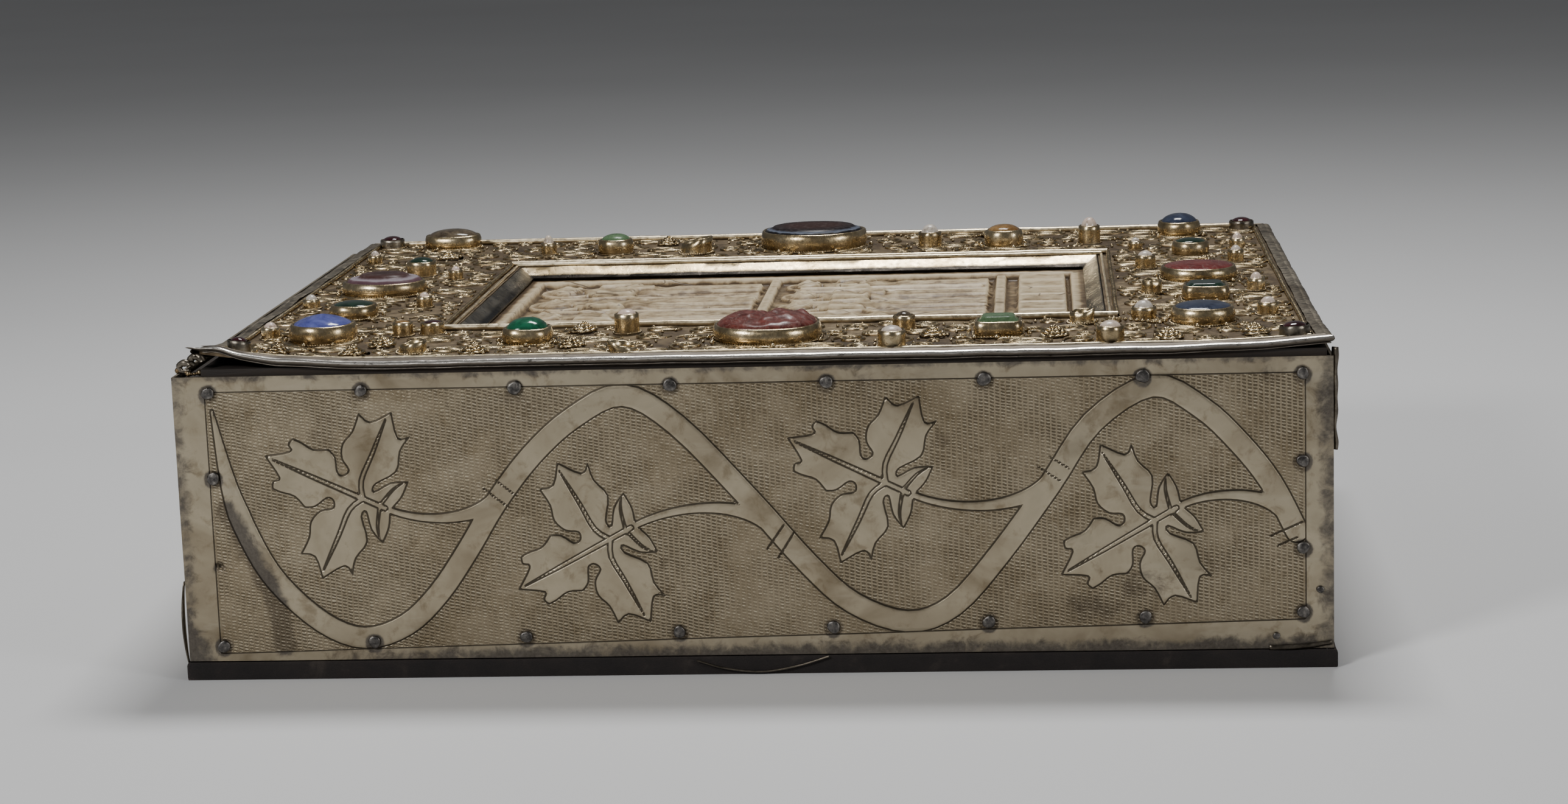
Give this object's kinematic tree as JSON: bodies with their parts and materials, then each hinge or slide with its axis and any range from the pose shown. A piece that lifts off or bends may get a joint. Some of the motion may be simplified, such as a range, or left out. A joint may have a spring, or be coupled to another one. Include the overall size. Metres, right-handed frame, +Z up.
{
  "type": "book-shaped reliquary",
  "caption": "Book-shaped box lying flat: a wooden box in engraved silver plates, with a lift-off lid that carries a jewelled gilt cover round an ivory panel.",
  "frame": {"origin": "centre of the underside, on the surface that the box lies on", "axes": "+X to the right along the long engraved front plate, +Y from that plate to the back, +Z up through the jewelled cover"},
  "size_m": [0.3182, 0.2462, 0.0974],
  "materials": {
    "velvet": "dark worn pile",
    "oak": "old, dry and dark",
    "silver_plate": "engraved silver with brown and blue-black tarnish",
    "silver_rim": "worn silver, bright on its ridge",
    "silver_bevel": "dull silver",
    "silver_gilt": "gilt, bright on the wires and dirty in the hollows",
    "ivory": "warm cream with brown hollows, soft sheen",
    "pearl": "white to pink lustre",
    "garnet": "polished, very dark red",
    "sapphire": "polished, pale violet blue",
    "emerald": "polished, clear green",
    "bloodstone": "polished, black green",
    "prase": "polished, leek green",
    "jasper": "carved, maroon with grey veins",
    "carnelian": "polished, red with a cloudy top",
    "agate": "polished, banded brown, grey and purple",
    "onyx": "polished, banded red brown, blue grey and black",
    "smoky_quartz": "polished, smoky",
    "citrine": "polished, amber"
  },
  "bodies": {
    "root": {"back_board": "velvet", "back_citrine": "citrine", "back_left_corner_garnet": "garnet", "back_left_smoky_quartz": "smoky_quartz", "back_onyx": "onyx", "back_pearl_1": "pearl", "back_pearl_2": "pearl", "back_pearl_3": "pearl", "back_plate": "silver_plate", "back_prase": "prase", "back_right_corner_garnet": "garnet", "back_right_sapphire": "sapphire", "back_rim": "silver_rim", "cover_sheet": "silver_gilt", "front_carved_jasper": "jasper", "front_emerald": "emerald", "front_left_corner_garnet": "garnet", "front_left_sapphire": "sapphire", "front_pearl_1": "pearl", "front_pearl_2": "pearl", "front_pearl_3": "pearl", "front_pearl_4": "pearl", "front_pearl_5": "pearl", "front_plate": "silver_plate", "front_prase": "prase", "front_right_corner_garnet": "garnet", "front_right_sapphire": "sapphire", "front_rim": "silver_rim", "front_rough_stone": "smoky_quartz", "front_small_citrine": "citrine", "front_small_garnet": "garnet", "ivory_plaque": "ivory", "left_agate": "agate", "left_far_bloodstone": "bloodstone", "left_near_bloodstone": "bloodstone", "left_pearl_1": "pearl", "left_pearl_2": "pearl", "left_pearl_3": "pearl", "left_pearl_4": "pearl", "left_plate": "silver_plate", "left_rim": "silver_rim", "lid_board": "oak", "right_carnelian": "carnelian", "right_far_bloodstone": "bloodstone", "right_near_bloodstone": "bloodstone", "right_pearl_1": "pearl", "right_pearl_2": "pearl", "right_pearl_3": "pearl", "right_pearl_4": "pearl", "right_pearl_5": "pearl", "right_pearl_6": "pearl", "right_plate": "silver_plate", "right_rim": "silver_rim", "window_bevel": "silver_bevel", "wooden_box": "oak"}
  },
  "joints": []
}
